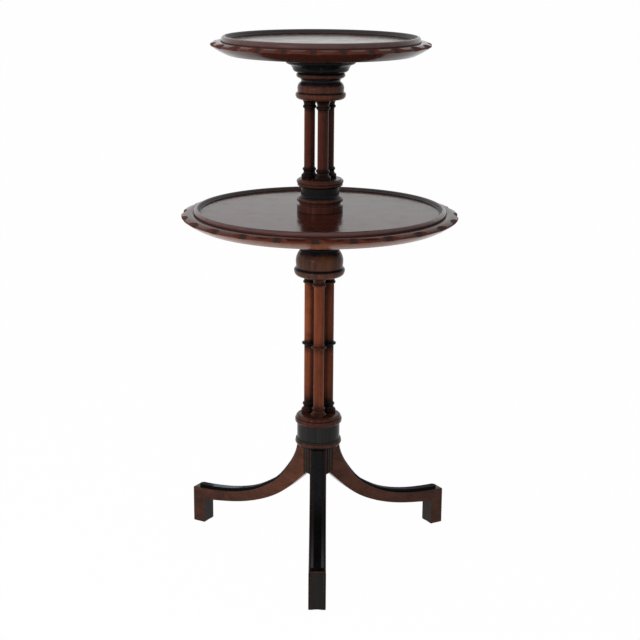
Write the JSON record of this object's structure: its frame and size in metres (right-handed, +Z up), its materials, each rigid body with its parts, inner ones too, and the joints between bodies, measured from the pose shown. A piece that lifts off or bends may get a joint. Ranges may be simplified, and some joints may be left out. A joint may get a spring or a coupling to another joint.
{
  "type": "dumbwaiter table",
  "caption": "Tiered dumbwaiter table: scalloped round trays that revolve on clustered turned columns, over a sabre-leg tripod with block feet.",
  "frame": {"origin": "on the floor, on the axis of the columns", "axes": "+Z up along the columns; the front leg points to -Y, +X is to the right of a viewer in front"},
  "size_m": [0.553, 0.583, 1.0697],
  "materials": {
    "mahogany": "polished, worn at the edges",
    "polished_mahogany": "high polish",
    "ebonised_wood": "black satin",
    "plain_wood": "unfinished",
    "brass": "turned",
    "steel": "turned"
  },
  "bodies": {
    "stand": {"base_collar": "mahogany", "base_drum": "ebonised_wood", "base_plinth": "mahogany", "collar_ring": "ebonised_wood", "foot_facing_front": "ebonised_wood", "foot_facing_rear_left": "ebonised_wood", "foot_facing_rear_right": "ebonised_wood", "hub": "mahogany", "hub_drop": "ebonised_wood", "leg_front": "mahogany", "leg_rear_left": "mahogany", "leg_rear_right": "mahogany", "leg_strip_front": "ebonised_wood", "leg_strip_rear_left": "ebonised_wood", "leg_strip_rear_right": "ebonised_wood", "lower_cap": "mahogany", "lower_column_front": "mahogany", "lower_column_rear_left": "mahogany", "lower_column_rear_right": "mahogany", "lower_neck_ring": "mahogany", "spindle": "steel", "stage_thrust_washer": "brass", "stand_core_dowel": "plain_wood", "tray_thrust_washer": "brass"},
    "lower_tray": {"lower_tray_board": "polished_mahogany", "lower_tray_rim": "polished_mahogany", "lower_tray_boss": "ebonised_wood", "lower_tray_bush": "brass", "lower_tray_screws": "steel"},
    "upper_stage": {"pedestal_drum": "mahogany", "pedestal_ring": "mahogany", "pedestal_neck": "ebonised_wood", "pedestal_top": "mahogany", "stage_bush": "brass", "upper_column_a": "mahogany", "upper_column_b": "mahogany", "upper_column_c": "mahogany", "stage_core_dowel": "plain_wood", "upper_cap": "mahogany", "upper_neck_ring": "mahogany", "upper_tray_boss": "ebonised_wood", "upper_tray_screws": "steel", "upper_tray_board": "polished_mahogany", "upper_tray_rim": "polished_mahogany"}
  },
  "joints": [
    {"name": "lower_tray_turn", "type": "hinge", "parent": "stand", "child": "lower_tray", "pos_m": [0, 0, 0.66], "axis": [0, 0, 1], "continuous": true},
    {"name": "upper_stage_turn", "type": "hinge", "parent": "stand", "child": "upper_stage", "pos_m": [0, 0, 0.74], "axis": [0, 0, 1], "continuous": true}
  ]
}
